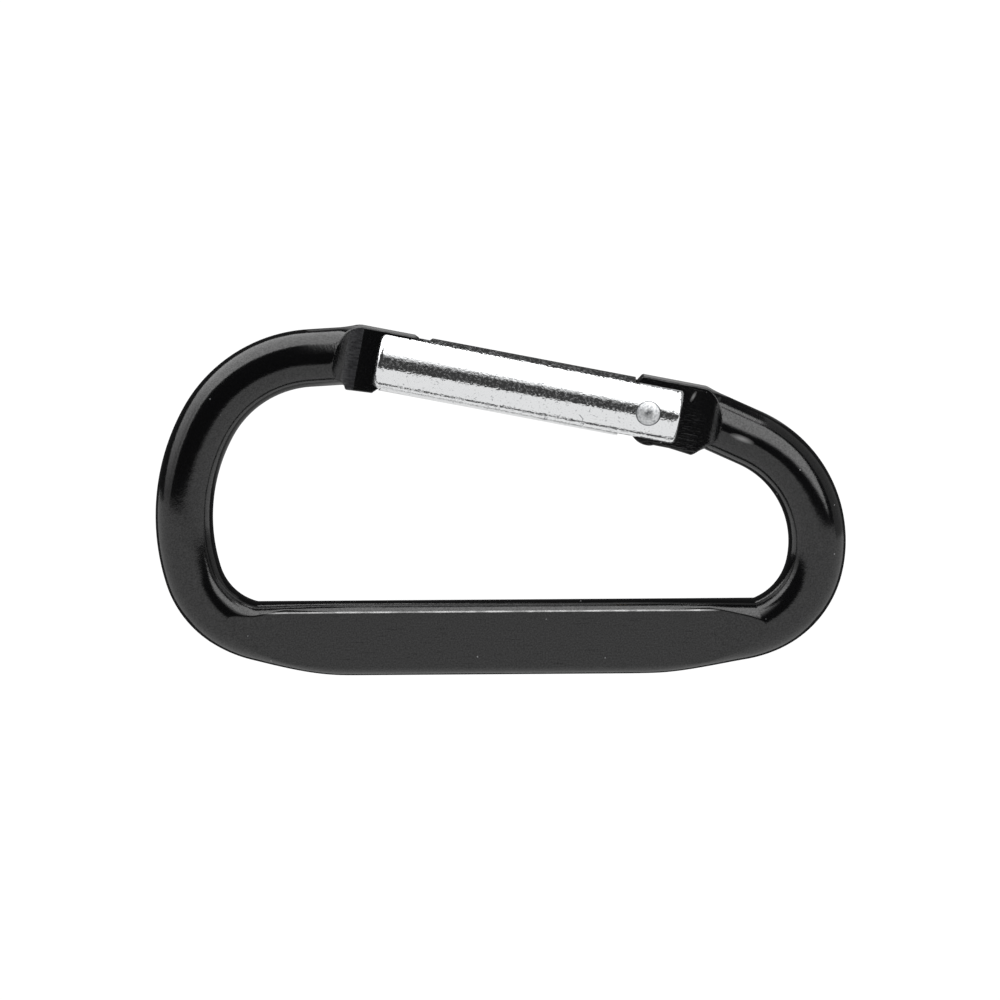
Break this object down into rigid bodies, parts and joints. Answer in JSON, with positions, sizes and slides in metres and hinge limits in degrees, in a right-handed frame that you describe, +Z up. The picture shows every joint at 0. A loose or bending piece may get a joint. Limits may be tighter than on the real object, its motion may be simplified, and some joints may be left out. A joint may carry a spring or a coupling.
{
  "type": "carabiner clip",
  "caption": "Small D-shaped clip bent from round bar, with a flat-pressed spine and a sprung gate that opens inwards to take a ring, cord or strap loop.",
  "frame": {"origin": "middle of the clip's bounding box, at its lowest point as it lies flat", "axes": "+X along the spine towards the gate's hinge, +Y from the spine towards the gate, +Z up out of the clip's plane"},
  "size_m": [0.06, 0.0306, 0.0058],
  "materials": {
    "black_bar": "gloss black anodised",
    "bright_gate": "bright, finely scratched",
    "rivet_metal": "bright, peened",
    "plunger_metal": "turned",
    "spring_wire": "drawn wire"
  },
  "bodies": {
    "loop": {"body": "black_bar"},
    "gate_arm": {"gate": "bright_gate", "rivet": "rivet_metal", "spring": "spring_wire"},
    "plunger_pin": {"plunger": "plunger_metal"}
  },
  "joints": [
    {"name": "gate_hinge", "type": "hinge", "parent": "loop", "child": "gate_arm", "pos_m": [0.0128, 0.00776, 0.0029], "axis": [0, 0, 1], "range_deg": [0, 38.5], "stiffness_Nm_per_rad": 0.02, "springref_deg": -34.38},
    {"name": "plunger_slide", "type": "slide", "parent": "gate_arm", "child": "plunger_pin", "axis": [-0.981, 0.194, 0], "range_m": [0, 0.0008], "deforming": ["spring"]}
  ],
  "couplings": [
    {"joint": "plunger_slide", "follows": "gate_hinge", "m_per_rad": 0.0011774}
  ]
}
